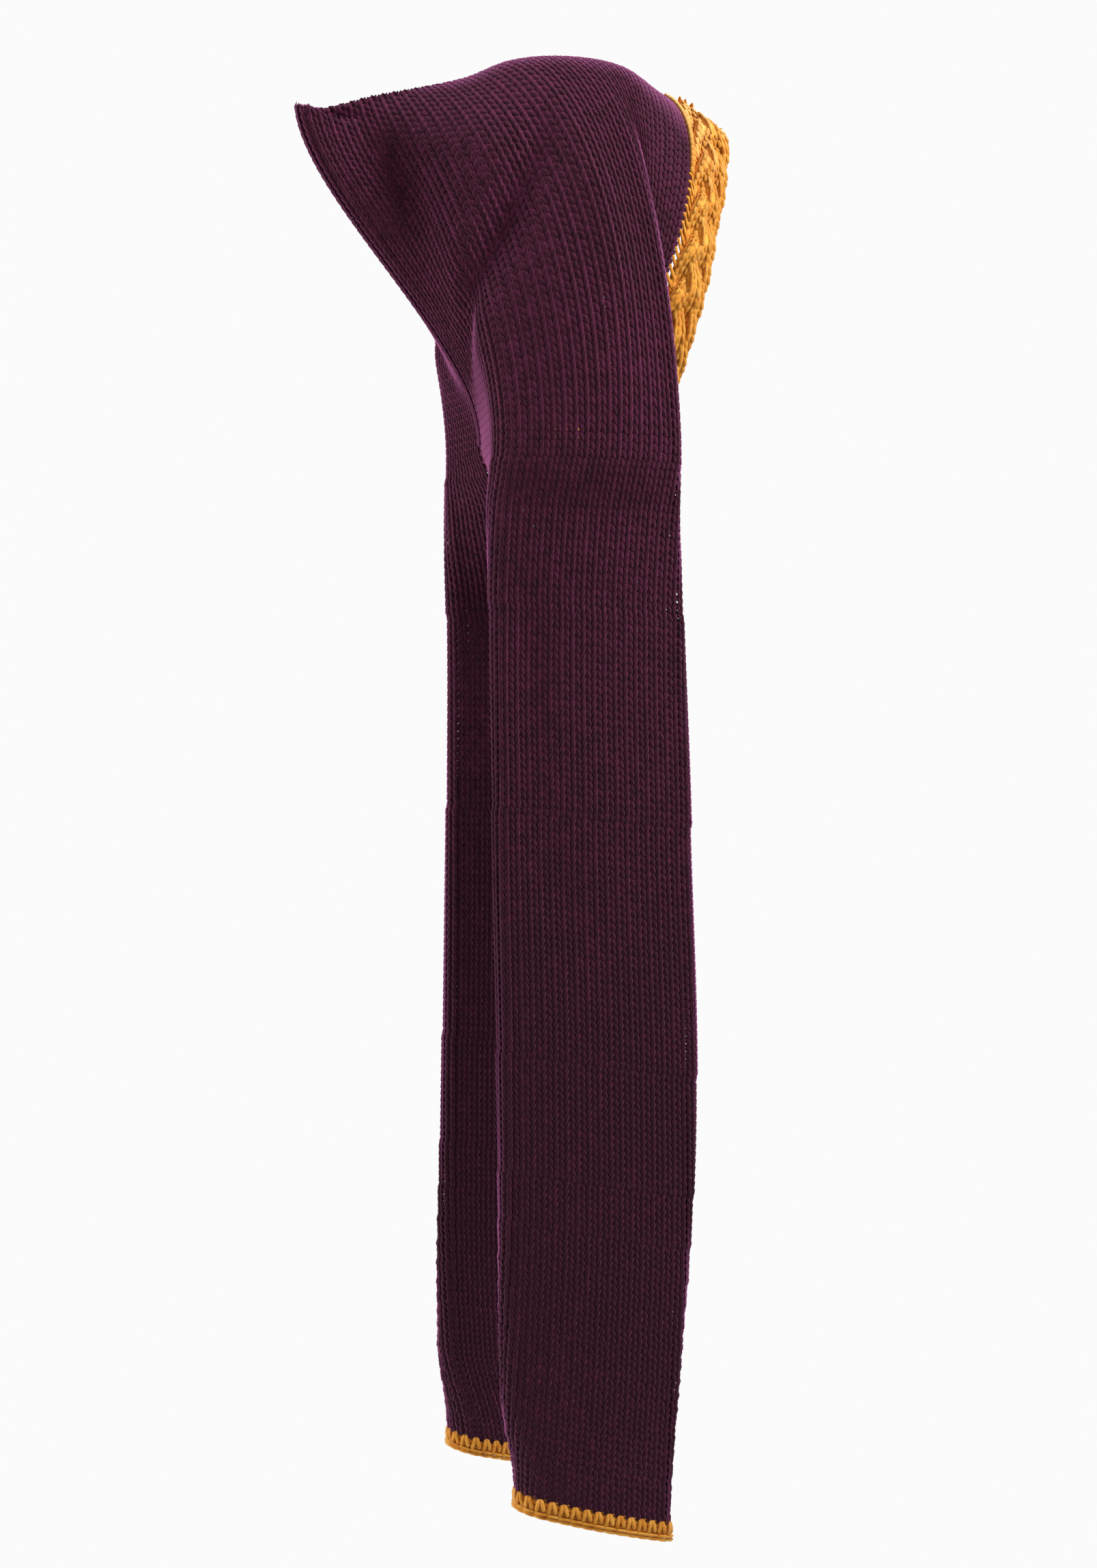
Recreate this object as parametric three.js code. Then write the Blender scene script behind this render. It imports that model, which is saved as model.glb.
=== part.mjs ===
// Knit costume hood: one long plain-knit strip folded over the head and sewn up the back, so that the
// fold's back corner makes a point, with a cable-knit brim round the face and a knitted edging on each
// tail. Millimetres, +Z up, +X the wearer's left, the face looks along -Y. The origin is on the inside
// of the crown, where a head carries the hood.
import * as THREE from 'three';
import { mergeVertices } from 'three/addons/utils/BufferGeometryUtils.js';

// Driving sizes
const STRIP_WIDTH = 284;
const STRIP_WALL = 4;
const CROWN_LENGTH = 282;
const FACE_REACH = 97;
const HALF_WIDTH = 75;
const NAPE_DROP = 288;
const TAIL_LENGTH = 770;
const TAIL_SPREAD = 91;
const TAIL_DEPTH = 50;
const TAIL_SLANT = 26;
const HEM_HEIGHT = 12.5;
const HEM_WALL = 6;
const BAND_WIDTH = 55;
const BAND_WALL = 6;
const BAND_END = 14.4;
const CABLE_RISE = 2.5;
const CABLE_PITCH = 42;
const CABLES = 2;
const BAND_TILT = 0.15;
const GAP = 0.3;

// Mesh density
const STRIP_COLUMNS = 26;
const HOOD_ROWS = 18;
const TAIL_ROWS = 16;
const HEM_ROWS = 2;
const BAND_COLUMNS = 8;
const BAND_ROWS = 36;
const SECTION_STEP = 1;
const COLUMN_CROWDING = 0.035;
const NUDGE = 0.004;
const CURLS = 2;
const PARTING_COLUMNS = 2;
const WELD = 1e-4;

const DEGREE = Math.PI / 180;

// Rows of values under named columns.
function table(columns, ...rows) {
  const names = columns.split(' ');
  return rows.map((row) => Object.fromEntries(row.map((value, i) => [names[i], value])));
}

// The fold over the head, from the point (across 0) to the face edge (across 1).
// back: share of CROWN_LENGTH behind the face edge; rise, fall, hang: shares of NAPE_DROP;
// spread, tuck: shares of HALF_WIDTH; lean, push: shares of CROWN_LENGTH.
// Each wale leaves the fold by spread, lean and fall, and reaches the nape level by tuck, push and hang.
const FOLD = table('across back rise spread lean fall tuck push hang',
  [0.00, 1.000, -0.177, 0.00, -0.018, -0.23, 0.00, 0.00, 0.26],
  [0.08, 0.922, -0.178, 0.13, -0.021, -0.22, 0.00, 0.00, 0.30],
  [0.20, 0.805, -0.140, 0.40, -0.021, -0.16, 0.03, 0.01, 0.35],
  [0.32, 0.684, -0.106, 0.68, -0.021, -0.10, 0.00, 0.00, 0.42],
  [0.45, 0.557, -0.068, 0.93, -0.007, -0.05, -0.12, 0.00, 0.52],
  [0.56, 0.450, -0.023, 1.03, 0.000, 0.00, -0.20, 0.00, 0.61],
  [0.70, 0.301, 0.000, 1.09, 0.000, 0.00, -0.25, 0.00, 0.66],
  [0.84, 0.152, -0.009, 1.09, -0.007, 0.00, -0.45, -0.05, 0.59],
  [0.94, 0.046, -0.045, 1.08, -0.028, -0.07, -0.53, -0.12, 0.45],
  [1.00, 0.000, -0.058, 1.06, -0.043, -0.14, -0.56, -0.18, 0.38],
);

// Plan sections of the strip, from the end of the back seam (down 0) to its lower end (down 1).
// edge: the back edge's distance from the middle, share of TAIL_SPREAD; fold: where the panel starts
// behind the middle, share of TAIL_DEPTH; toe, round, backTurn, frontTurn: degrees;
// backFlap, backBend, frontFlap, frontBend: shares of STRIP_WIDTH, bends as radii.
const SECTIONS = table('down edge fold toe round backTurn backFlap backBend frontTurn frontFlap frontBend',
  [0.00, 0.00, 0.86, 4, 30, 80, 0.182, 0.066, 164, 0.208, 0.036],
  [0.07, 0.06, 0.94, 1, 24, 118, 0.176, 0.049, 166, 0.185, 0.033],
  [0.16, 0.32, 0.98, 0, 18, 155, 0.190, 0.032, 168, 0.169, 0.030],
  [0.35, 0.50, 0.98, 1, 16, 168, 0.194, 0.028, 170, 0.160, 0.028],
  [0.60, 0.66, 0.98, 3, 16, 170, 0.197, 0.028, 172, 0.162, 0.028],
  [0.91, 0.79, 0.96, 3, 24, 170, 0.205, 0.038, 172, 0.200, 0.028],
  [1.00, 0.74, 0.66, 3, 30, 168, 0.190, 0.070, 172, 0.205, 0.028],
);

// Hollows and swells of the hood and tails. at: share across; along: 0 at the fold, 1 at the nape,
// 2 at the lower end; wide, long: half sizes in the same shares; slant: across per along;
// rise: share of HALF_WIDTH, outwards.
const DENTS = table('at along wide long slant rise',
  [0.17, 0.33, 0.07, 0.16, 0.10, -0.11],
  [0.36, 0.36, 0.09, 0.13, 0.00, 0.07],
  [0.32, 0.62, 0.09, 0.22, -0.75, -0.09],
  [0.56, 0.58, 0.05, 0.24, 0.00, 0.03],
  [0.34, 1.26, 0.07, 0.09, 0.00, -0.05],
  [0.40, 1.42, 0.08, 0.07, 0.60, -0.03],
);

// How the brim stands off the face edge, from the forehead (along 0) to the chin (along 1).
// inward, forward, down: its direction; aside: a step towards the middle, share of BAND_WIDTH, where the
// cloth behind it is curled under.
const BRIM = table('along inward forward down aside',
  [0.00, 0.00, 0.80, 0.60, 0.00],
  [0.20, 0.24, 0.76, 0.60, 0.00],
  [0.45, 0.48, 0.62, 0.56, 0.07],
  [0.75, 0.42, 0.76, 0.32, 0.16],
  [1.00, 0.14, 0.90, 0.10, 0.19],
);

// A smooth value between the rows of a table, flat at its first and last rows and at its turns.
function between(rows, place, at, value) {
  const last = rows.length - 1;
  const slope = (i) => {
    if (i === 0 || i === last) return 0;
    const before = rows[i][value] - rows[i - 1][value];
    const after = rows[i + 1][value] - rows[i][value];
    if (before * after <= 0) return 0;
    return (before + after) / (rows[i + 1][place] - rows[i - 1][place]);
  };
  let i = 0;
  while (i < last - 1 && at > rows[i + 1][place]) i += 1;
  const span = rows[i + 1][place] - rows[i][place];
  const t = THREE.MathUtils.clamp((at - rows[i][place]) / span, 0, 1);
  const t2 = t * t;
  const t3 = t2 * t;
  return (2 * t3 - 3 * t2 + 1) * rows[i][value] + (t3 - 2 * t2 + t) * span * slope(i)
    + (3 * t2 - 2 * t3) * rows[i + 1][value] + (t3 - t2) * span * slope(i + 1);
}

// The same, but it keeps its slope at the two ends.
function along(rows, place, at, value) {
  const last = rows.length - 1;
  const slope = (i) => {
    const a = rows[Math.max(i - 1, 0)];
    const b = rows[Math.min(i + 1, last)];
    return (b[value] - a[value]) / (b[place] - a[place]);
  };
  let i = 0;
  while (i < last - 1 && at > rows[i + 1][place]) i += 1;
  const span = rows[i + 1][place] - rows[i][place];
  const t = (at - rows[i][place]) / span;
  const t2 = t * t;
  const t3 = t2 * t;
  return (2 * t3 - 3 * t2 + 1) * rows[i][value] + (t3 - 2 * t2 + t) * span * slope(i)
    + (3 * t2 - 2 * t3) * rows[i + 1][value] + (t3 - t2) * span * slope(i + 1);
}

// One plan section of the strip at a share of the tail's length, walked from the back edge forward.
const sections = new Map();
function section(down) {
  if (sections.has(down)) return sections.get(down);
  const row = {};
  for (const value of Object.keys(SECTIONS[0])) row[value] = between(SECTIONS, 'down', down, value);
  const backArc = row.backBend * STRIP_WIDTH * row.backTurn * DEGREE;
  const frontArc = row.frontBend * STRIP_WIDTH * row.frontTurn * DEGREE;
  const panelStart = row.backFlap * STRIP_WIDTH + backArc;
  const panelEnd = STRIP_WIDTH * (1 - row.frontFlap) - frontArc;
  const steps = Math.round(STRIP_WIDTH / SECTION_STEP);
  const step = STRIP_WIDTH / steps;
  const x = [0];
  const y = [0];
  for (let i = 0; i < steps; i += 1) {
    const q = (i + 0.5) * step;
    const inPanel = THREE.MathUtils.clamp((q - panelStart) / (panelEnd - panelStart), 0, 1);
    const heading = row.toe + row.round * (0.5 - inPanel)
      + row.backTurn * THREE.MathUtils.clamp((panelStart - q) / backArc, 0, 1)
      - row.frontTurn * THREE.MathUtils.clamp((q - panelEnd) / frontArc, 0, 1);
    x.push(x[i] - Math.sin(heading * DEGREE) * step);
    y.push(y[i] - Math.cos(heading * DEGREE) * step);
  }
  const startY = y[Math.round(panelStart / step)];
  const result = { x, y, steps, moveX: -row.edge * TAIL_SPREAD, moveY: row.fold * TAIL_DEPTH - startY };
  sections.set(down, result);
  return result;
}

// A point of the strip below the back seam, on the wearer's right.
function tailPoint(across, down) {
  const { x, y, steps, moveX, moveY } = section(THREE.MathUtils.clamp(down, 0, 1));
  const i = Math.min(Math.floor(across * steps), steps - 1);
  const t = across * steps - i;
  const px = x[i] + (x[i + 1] - x[i]) * t + moveX;
  const py = y[i] + (y[i + 1] - y[i]) * t + moveY;
  const backward = (py + TAIL_DEPTH) / (2 * TAIL_DEPTH);
  const lift = TAIL_SLANT * Math.max(down, 0) * backward;
  return new THREE.Vector3(px, py, STRIP_WALL / 2 - NAPE_DROP - down * TAIL_LENGTH + lift);
}

// A point of the strip on the wearer's right, before its hollows are pressed in.
function stripPoint(across, s) {
  if (s < 0) {
    const p = stripPoint(across, -s);
    p.x = -p.x;
    return p;
  }
  if (s > 1) return tailPoint(across, s - 1);
  const f = {};
  for (const value of Object.keys(FOLD[0])) f[value] = along(FOLD, 'across', across, value);
  const start = new THREE.Vector3(0, f.back * CROWN_LENGTH - FACE_REACH, STRIP_WALL / 2 + f.rise * NAPE_DROP);
  const leave = start.clone().add(
    new THREE.Vector3(-f.spread * HALF_WIDTH, f.lean * CROWN_LENGTH, f.fall * NAPE_DROP));
  const end = tailPoint(across, 0);
  const reach = end.clone().add(
    new THREE.Vector3(f.tuck * HALF_WIDTH, f.push * CROWN_LENGTH, f.hang * NAPE_DROP));
  return new THREE.CubicBezierCurve3(start, leave, reach, end).getPoint(s);
}

// How far the hollows and swells move the cloth outwards.
function relief(across, s) {
  const shape = (d) => {
    const dAlong = (Math.abs(s) - d.along) / d.long;
    const dAcross = (across - d.at - d.slant * (Math.abs(s) - d.along)) / d.wide;
    return d.rise * HALF_WIDTH * Math.exp(-dAlong * dAlong - dAcross * dAcross);
  };
  return DENTS.reduce((sum, d) => sum + shape(d), 0);
}

// The outward direction of a surface given by a function of two values.
function outward(point, a, b) {
  const low = Math.max(a - NUDGE, 0);
  const high = Math.min(a + NUDGE, 1);
  const da = point(high, b).sub(point(low, b));
  const db = point(a, b + NUDGE).sub(point(a, b - NUDGE));
  return db.cross(da).normalize();
}

// A point of the finished middle surface, on either side: s below 0 is the wearer's left.
function clothPoint(across, s) {
  const p = stripPoint(across, s);
  return p.addScaledVector(outward(stripPoint, across, s), relief(across, s));
}

// A closed wall round a grid of middle points. Each entry has a point, its outward direction and the
// wall on each side. With sewn true the first column is joined to itself across the middle plane.
function wall(grid, sewn) {
  const rows = grid.length;
  const columns = grid[0].length;
  const positions = [];
  for (const side of ['outside', 'inside']) {
    for (const row of grid) {
      for (const entry of row) positions.push(...entry[side].toArray());
    }
  }
  const at = (side, i, j) => side * rows * columns + i * columns + j;
  const index = [];
  const quad = (a, b, c, d) => index.push(a, b, c, a, c, d);
  for (let i = 0; i < rows - 1; i += 1) {
    for (let j = 0; j < columns - 1; j += 1) {
      quad(at(0, i, j), at(0, i + 1, j), at(0, i + 1, j + 1), at(0, i, j + 1));
      quad(at(1, i, j), at(1, i, j + 1), at(1, i + 1, j + 1), at(1, i + 1, j));
    }
    if (!sewn) quad(at(0, i, 0), at(1, i, 0), at(1, i + 1, 0), at(0, i + 1, 0));
    quad(at(0, i, columns - 1), at(0, i + 1, columns - 1), at(1, i + 1, columns - 1), at(1, i, columns - 1));
  }
  for (let j = 0; j < columns - 1; j += 1) {
    quad(at(0, 0, j), at(0, 0, j + 1), at(1, 0, j + 1), at(1, 0, j));
    quad(at(0, rows - 1, j), at(1, rows - 1, j), at(1, rows - 1, j + 1), at(0, rows - 1, j + 1));
  }
  const geometry = new THREE.BufferGeometry();
  geometry.setAttribute('position', new THREE.Float32BufferAttribute(positions, 3));
  geometry.setIndex(index);
  const merged = mergeVertices(geometry, WELD);
  const faces = Array.from(merged.index.array);
  const kept = [];
  for (let i = 0; i < faces.length; i += 3) {
    const [a, b, c] = faces.slice(i, i + 3);
    if (a !== b && b !== c && a !== c) kept.push(a, b, c);
  }
  merged.setIndex(kept);
  return signedVolume(merged) < 0 ? turned(merged) : merged;
}

function signedVolume(geometry) {
  const p = geometry.attributes.position;
  const faces = geometry.index.array;
  const corner = (i) => new THREE.Vector3().fromBufferAttribute(p, faces[i]);
  let volume = 0;
  for (let i = 0; i < faces.length; i += 3) {
    volume += corner(i).dot(corner(i + 1).cross(corner(i + 2))) / 6;
  }
  return volume;
}

function turned(geometry) {
  const faces = Array.from(geometry.index.array);
  for (let i = 0; i < faces.length; i += 3) [faces[i], faces[i + 1]] = [faces[i + 1], faces[i]];
  geometry.setIndex(faces);
  return geometry;
}

// Even shares from first to last.
function shares(first, last, count) {
  return Array.from({ length: count + 1 }, (_, i) => first + ((last - first) * i) / count);
}

// The strip's columns follow its bends: closer together at the folds than on the panel and the flaps.
function columnShares(first) {
  const share = (t) => t + COLUMN_CROWDING * Math.sin(2 * Math.PI * CURLS * t);
  return shares(0, 1, STRIP_COLUMNS).map((t) => Math.max(share(t), first));
}

// The way out of the cloth on the middle plane, square to the fold over the head and to the back seam.
function planeOutward(across, s) {
  const place = clothPoint(across, s);
  const seam = clothPoint(across, Math.abs(s) + NUDGE).sub(place);
  const fold = clothPoint(across + NUDGE, 0).sub(clothPoint(across, 0));
  const back = new THREE.Vector3(0, -seam.z, seam.y).normalize();
  const up = new THREE.Vector3(0, fold.z, -fold.y).normalize();
  if (s !== 0) return back;
  return across === 0 ? up.add(back).normalize() : up;
}

// A wall of cloth between two places along the strip. In a sewn wall the two layers of the narrow point
// part over its first columns; a free one stays on its own side of the middle plane.
function clothWall(from, to, rows, thickness, firstColumn, sewn) {
  const half = thickness / 2;
  const grid = shares(from, to, rows).map((s) => columnShares(firstColumn).map((across, column) => {
    const point = clothPoint(across, s);
    const inPlane = sewn && (column === 0 || s === 0);
    if (inPlane) point.x = 0;
    const direction = inPlane ? planeOutward(across, s) : outward(clothPoint, across, s);
    const outside = point.clone().addScaledVector(direction, half);
    const inside = point.clone().addScaledVector(direction, -half);
    if (!inPlane) {
      const side = s > 0 ? -1 : 1;
      const clear = sewn ? Math.min(column, PARTING_COLUMNS) * GAP : GAP / 2;
      const skin = sewn ? half : 0;
      inside.x = side * Math.max(side * inside.x, clear);
      outside.x = side * Math.max(side * outside.x, clear + skin);
    }
    return { outside, inside };
  }));
  return wall(grid, sewn);
}

// The brim from its sewn edge (out 0) to its free edge (out 1), and from the forehead (share 0) to the
// chin (share 1, or -1 on the wearer's left), where it stops BAND_END above the end of the back seam.
// BAND_TILT is how far, as a share of the band's wall, its tilted root stands off the strip's edge
// beyond the gap.
function brimPoint(out, share) {
  const a = Math.abs(share);
  const side = share < 0 ? -1 : 1;
  const edge = clothPoint(1, a * (1 - BAND_END / NAPE_DROP));
  const inward = between(BRIM, 'along', a, 'inward');
  const forward = between(BRIM, 'along', a, 'forward');
  const down = between(BRIM, 'along', a, 'down');
  const direction = new THREE.Vector3(inward, -forward, -down).normalize();
  const root = GAP + BAND_TILT * BAND_WALL;
  const p = edge.addScaledVector(direction, root + out * (BAND_WIDTH - root));
  p.x = Math.min(p.x + between(BRIM, 'along', a, 'aside') * BAND_WIDTH, 0) * side;
  return p;
}

// The raised rope of a cable stitch, at a place out from the face edge and a length along it.
function cable(out, length) {
  const twist = Math.abs(Math.cos(Math.PI * (out * CABLES + length / CABLE_PITCH)));
  const edgeFade = Math.sin(Math.PI * THREE.MathUtils.clamp(out, 0, 1));
  return CABLE_RISE * twist * Math.sqrt(edgeFade);
}

function brimWall() {
  const half = BAND_WALL / 2;
  const grid = shares(-1, 1, 2 * BAND_ROWS).map((share) => shares(0, 1, BAND_COLUMNS).map((out) => {
    const point = brimPoint(out, share);
    const direction = outward(brimPoint, out, share);
    return {
      outside: point.clone().addScaledVector(direction, half + cable(out, share * CROWN_LENGTH)),
      inside: point.clone().addScaledVector(direction, -half),
    };
  }));
  return wall(grid, false);
}

function mirrored(geometry) {
  const copy = geometry.clone();
  copy.scale(-1, 1, 1);
  return turned(copy);
}

function knit(colour, roughness) {
  return new THREE.MeshStandardMaterial({ color: colour, roughness, metalness: 0 });
}

const PLUM = 0x4a1d3c;
const MUSTARD = 0xc77d1e;

const hood = new THREE.Group();

function add(name, geometry, material) {
  geometry.computeVertexNormals();
  const mesh = new THREE.Mesh(geometry, material);
  mesh.name = name;
  hood.add(mesh);
}

// The strip is one knitted piece on the real hood; here its three lengths meet edge to edge.
const seamEnd = 1 - GAP / 2 / NAPE_DROP;
const tailStart = 1 + GAP / 2 / TAIL_LENGTH;
const tailEnd = 2 - GAP / 2 / TAIL_LENGTH;
const hemStart = 2 + GAP / 2 / TAIL_LENGTH;
const hemEnd = 2 + HEM_HEIGHT / TAIL_LENGTH;
const edgeClear = GAP / STRIP_WIDTH;

add('hood', clothWall(-seamEnd, seamEnd, 2 * HOOD_ROWS, STRIP_WALL, 0, true), knit(PLUM, 0.95));

const tail = clothWall(tailStart, tailEnd, TAIL_ROWS, STRIP_WALL, edgeClear, false);
add('tail_right', tail, knit(PLUM, 0.95));
add('tail_left', mirrored(tail), knit(PLUM, 0.95));

const hem = clothWall(hemStart, hemEnd, HEM_ROWS, HEM_WALL, edgeClear, false);
add('hem_right', hem, knit(MUSTARD, 0.9));
add('hem_left', mirrored(hem), knit(MUSTARD, 0.9));

add('brim_band', brimWall(), knit(MUSTARD, 0.9));

export default hood;
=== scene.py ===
"""Knit costume hood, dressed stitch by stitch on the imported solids. Real sizes are in millimetres."""

import math

import bpy
import numpy as np
from mathutils import Matrix, Vector


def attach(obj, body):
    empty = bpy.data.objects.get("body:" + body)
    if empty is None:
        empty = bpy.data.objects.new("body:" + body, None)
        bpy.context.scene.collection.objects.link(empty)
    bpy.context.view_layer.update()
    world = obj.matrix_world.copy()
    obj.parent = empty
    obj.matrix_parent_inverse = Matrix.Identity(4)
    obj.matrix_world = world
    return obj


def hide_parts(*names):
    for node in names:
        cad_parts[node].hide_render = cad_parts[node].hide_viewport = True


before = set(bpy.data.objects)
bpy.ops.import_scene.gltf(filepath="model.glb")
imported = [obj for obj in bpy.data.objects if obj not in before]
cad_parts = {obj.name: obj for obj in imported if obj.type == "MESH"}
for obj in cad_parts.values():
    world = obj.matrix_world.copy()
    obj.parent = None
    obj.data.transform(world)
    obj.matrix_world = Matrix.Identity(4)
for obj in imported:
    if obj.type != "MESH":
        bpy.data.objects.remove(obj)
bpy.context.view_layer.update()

# The plum strip: one long chunky plain knit, folded over the head and sewn up the back so that the
# fold's back corner makes a point. Below the seam it hangs as two tails whose side edges curl inward,
# as plain knitting does. Its middle surface is worked out here and all plum yarn is laid on it.

STRIP_WIDTH = 284.0
STRIP_WALL = 4.0
CROWN_LENGTH = 282.0
FACE_REACH = 97.0
HALF_WIDTH = 75.0
NAPE_DROP = 288.0
TAIL_LENGTH = 770.0
TAIL_SPREAD = 91.0
TAIL_DEPTH = 50.0
TAIL_SLANT = 26.0

WALES = 35
HOOD_COURSES = 49
TAIL_COURSES = 141
TOP_COURSE = 6.0
END_COURSE = 4.9
WALE_STEPS = 4
COURSE_STEPS = 2
FINE_HOOD_ROWS = 161
FINE_TAIL_ROWS = 401


def columns(names, *rows):
    """Rows of values as one array for each named column."""
    return dict(zip(names.split(), np.array(rows, float).T))


# The fold over the head, from the point (across 0) to the face edge (across 1): how far back and up
# each wale leaves the fold, and how it bends on its way to the nape.
FOLD = columns(
    "across back rise spread lean fall tuck push hang",
    (0.00, 1.000, -0.177, 0.00, -0.018, -0.23, 0.00, 0.00, 0.26),
    (0.08, 0.922, -0.178, 0.13, -0.021, -0.22, 0.00, 0.00, 0.30),
    (0.20, 0.805, -0.140, 0.40, -0.021, -0.16, 0.03, 0.01, 0.35),
    (0.32, 0.684, -0.106, 0.68, -0.021, -0.10, 0.00, 0.00, 0.42),
    (0.45, 0.557, -0.068, 0.93, -0.007, -0.05, -0.12, 0.00, 0.52),
    (0.56, 0.450, -0.023, 1.03, 0.000, 0.00, -0.20, 0.00, 0.61),
    (0.70, 0.301, 0.000, 1.09, 0.000, 0.00, -0.25, 0.06, 0.66),
    (0.84, 0.152, -0.009, 1.09, -0.007, 0.00, -0.45, 0.03, 0.59),
    (0.94, 0.046, -0.045, 1.08, -0.028, -0.07, -0.53, -0.11, 0.45),
    (1.00, 0.000, -0.058, 1.06, -0.043, -0.14, -0.56, -0.22, 0.38),
)

# Plan sections of a tail, from the end of the seam (down 0) to its lower end (down 1): where the back
# edge lies, how the flat panel turns, and how far each side edge curls in. Turns are in degrees.
SECTIONS = columns(
    "down edge fold toe round back_turn back_flap back_bend front_turn front_flap front_bend",
    (0.00, 0.00, 0.86, 4, 30, 80, 0.182, 0.066, 164, 0.208, 0.036),
    (0.07, 0.06, 0.94, 1, 24, 118, 0.176, 0.049, 166, 0.185, 0.033),
    (0.16, 0.32, 0.98, 0, 18, 155, 0.190, 0.032, 168, 0.169, 0.030),
    (0.35, 0.50, 0.98, 1, 16, 168, 0.194, 0.028, 170, 0.160, 0.028),
    (0.60, 0.66, 0.98, 3, 16, 170, 0.197, 0.028, 172, 0.162, 0.028),
    (0.91, 0.79, 0.96, 3, 24, 170, 0.205, 0.038, 172, 0.200, 0.028),
    (1.00, 0.74, 0.66, 3, 30, 168, 0.190, 0.070, 172, 0.205, 0.028),
)

# Hollows and swells that the cloth keeps; rise is a share of HALF_WIDTH, outwards.
DENTS = columns(
    "at along wide long slant rise",
    (0.17, 0.33, 0.07, 0.16, 0.10, -0.17),
    (0.36, 0.36, 0.09, 0.13, 0.00, 0.09),
    (0.29, 0.60, 0.065, 0.14, -1.00, -0.15),
    (0.11, 0.04, 0.03, 0.035, 1.20, -0.05),
    (0.56, 0.58, 0.05, 0.24, 0.00, 0.04),
    (0.34, 1.26, 0.07, 0.09, 0.00, -0.05),
    (0.40, 1.42, 0.08, 0.07, 0.60, -0.03),
)

# The fold is rounded likewise over the point. POINT_ROLL is its width there, which shrinks to the share
# LEAST_ROLL of it by POINT_REACH across. ROLL_FADE is over how many widths from the edge the roll fades.
POINT_ROLL = 7.0
POINT_REACH = 0.3
LEAST_ROLL = 0.1
ROLL_FADE = 6

# How wide the roll of the sewn back edge is in millimetres, from the point (along 0) down to the end of
# the seam (along 1) and the lower end of the tail (along 2).
ROLL = columns(
    "along width",
    (0.00, 6.5),
    (0.25, 5.0),
    (1.00, 3.0),
    (1.10, 0.5),
    (2.00, 0.5),
)


def hermite(x, y, slope, at):
    """The cubic through the points x, y with those slopes."""
    i = np.clip(np.searchsorted(x, at) - 1, 0, len(x) - 2)
    span = x[i + 1] - x[i]
    t = (at - x[i]) / span
    rise = (2 * t**3 - 3 * t**2 + 1) * y[i] + (3 * t**2 - 2 * t**3) * y[i + 1]
    return rise + span * ((t**3 - 2 * t**2 + t) * slope[i] + (t**3 - t**2) * slope[i + 1])


def between(rows, place, at, value):
    """A smooth value between the rows of a table, flat at its ends and its turns."""
    x, y = rows[place], rows[value]
    step = np.diff(y)
    slope = np.zeros_like(y)
    slope[1:-1] = (step[:-1] + step[1:]) / (x[2:] - x[:-2]) * (step[:-1] * step[1:] > 0)
    return hermite(x, y, slope, np.clip(at, x[0], x[-1]))


def along(rows, place, at, value):
    """The same, but it keeps its slope at the two ends."""
    x, y = rows[place], rows[value]
    first, last = np.maximum(np.arange(len(x)) - 1, 0), np.minimum(np.arange(len(x)) + 1, len(x) - 1)
    return hermite(x, y, (y[last] - y[first]) / (x[last] - x[first]), at)


def tail_points(across, down):
    """The middle surface of the tail on the wearer's right, one row for each place down."""
    row = {name: between(SECTIONS, "down", down, name)[:, None] for name in SECTIONS if name != "down"}
    steps = round(STRIP_WIDTH)
    step = STRIP_WIDTH / steps
    back_arc = row["back_bend"] * STRIP_WIDTH * np.radians(row["back_turn"])
    front_arc = row["front_bend"] * STRIP_WIDTH * np.radians(row["front_turn"])
    start = row["back_flap"] * STRIP_WIDTH + back_arc
    end = STRIP_WIDTH * (1 - row["front_flap"]) - front_arc
    q = (np.arange(steps) + 0.5)[None] * step
    heading = row["toe"] + row["round"] * (0.5 - np.clip((q - start) / (end - start), 0, 1))
    heading += row["back_turn"] * np.clip((start - q) / back_arc, 0, 1)
    heading -= row["front_turn"] * np.clip((q - end) / front_arc, 0, 1)
    x = np.pad(-np.cumsum(np.sin(np.radians(heading)), 1) * step, ((0, 0), (1, 0)))
    y = np.pad(-np.cumsum(np.cos(np.radians(heading)), 1) * step, ((0, 0), (1, 0)))
    x -= row["edge"] * TAIL_SPREAD
    y += row["fold"] * TAIL_DEPTH - np.take_along_axis(y, np.round(start / step).astype(int), 1)
    places = across * steps
    px = np.array([np.interp(places, np.arange(steps + 1), line) for line in x])
    py = np.array([np.interp(places, np.arange(steps + 1), line) for line in y])
    below = np.maximum(down, 0)[:, None]
    lift = TAIL_SLANT * below * (py + TAIL_DEPTH) / (2 * TAIL_DEPTH)
    pz = STRIP_WALL / 2 - NAPE_DROP - down[:, None] * TAIL_LENGTH + lift
    return np.stack((px, py, pz), -1)


def fold_points(across, s):
    """The hood's middle surface on the wearer's right, from the fold (s 0) to the nape (s 1)."""
    f = {name: along(FOLD, "across", across, name) for name in FOLD if name != "across"}
    flat = np.zeros_like(across)
    start = (flat, f["back"] * CROWN_LENGTH - FACE_REACH, STRIP_WALL / 2 + f["rise"] * NAPE_DROP)
    start = np.stack(start, -1)
    leave = (-f["spread"] * HALF_WIDTH, f["lean"] * CROWN_LENGTH, f["fall"] * NAPE_DROP)
    leave = start + np.stack(leave, -1)
    end = tail_points(across, np.zeros(1))[0]
    reach = (f["tuck"] * HALF_WIDTH, f["push"] * CROWN_LENGTH, f["hang"] * NAPE_DROP)
    reach = end + np.stack(reach, -1)
    t = s[:, None, None]
    return (1 - t) ** 3 * start + 3 * (1 - t) ** 2 * t * leave + 3 * (1 - t) * t**2 * reach + t**3 * end


def unit(v):
    return v / np.maximum(np.linalg.norm(v, axis=-1, keepdims=True), 1e-9)


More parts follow.
